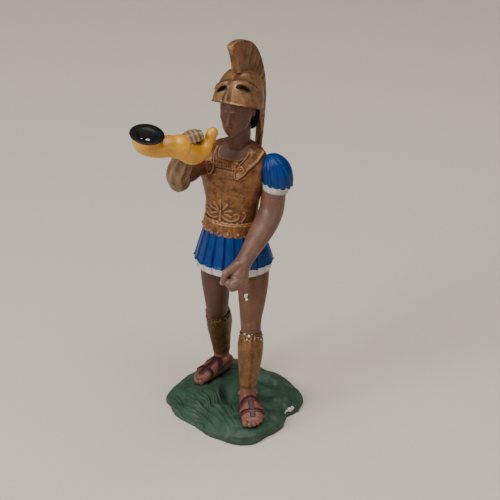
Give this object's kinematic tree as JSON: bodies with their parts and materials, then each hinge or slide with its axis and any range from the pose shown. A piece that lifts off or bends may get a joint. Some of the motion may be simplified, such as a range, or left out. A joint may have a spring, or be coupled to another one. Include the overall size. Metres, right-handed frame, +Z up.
{
  "type": "toy soldier figurine",
  "caption": "Painted plastic toy soldier of ancient Greece in crested helmet, cuirass and pleated skirt, raising a curved horn on a grass base.",
  "frame": {"origin": "on the flat underside of the base, below the middle of the figure", "axes": "+Z up from the underside to the crest, -Y the way the leading foot points, +X towards the hanging arm"},
  "size_m": [0.0285, 0.0277, 0.0684],
  "materials": {
    "painted_plastic": "hand-painted white plastic: antique gold armour, bare skin, blue and white cloth, yellow horn, green base, chipped at a few edges"
  },
  "bodies": {
    "root": {"soldier": "painted_plastic"}
  },
  "joints": []
}
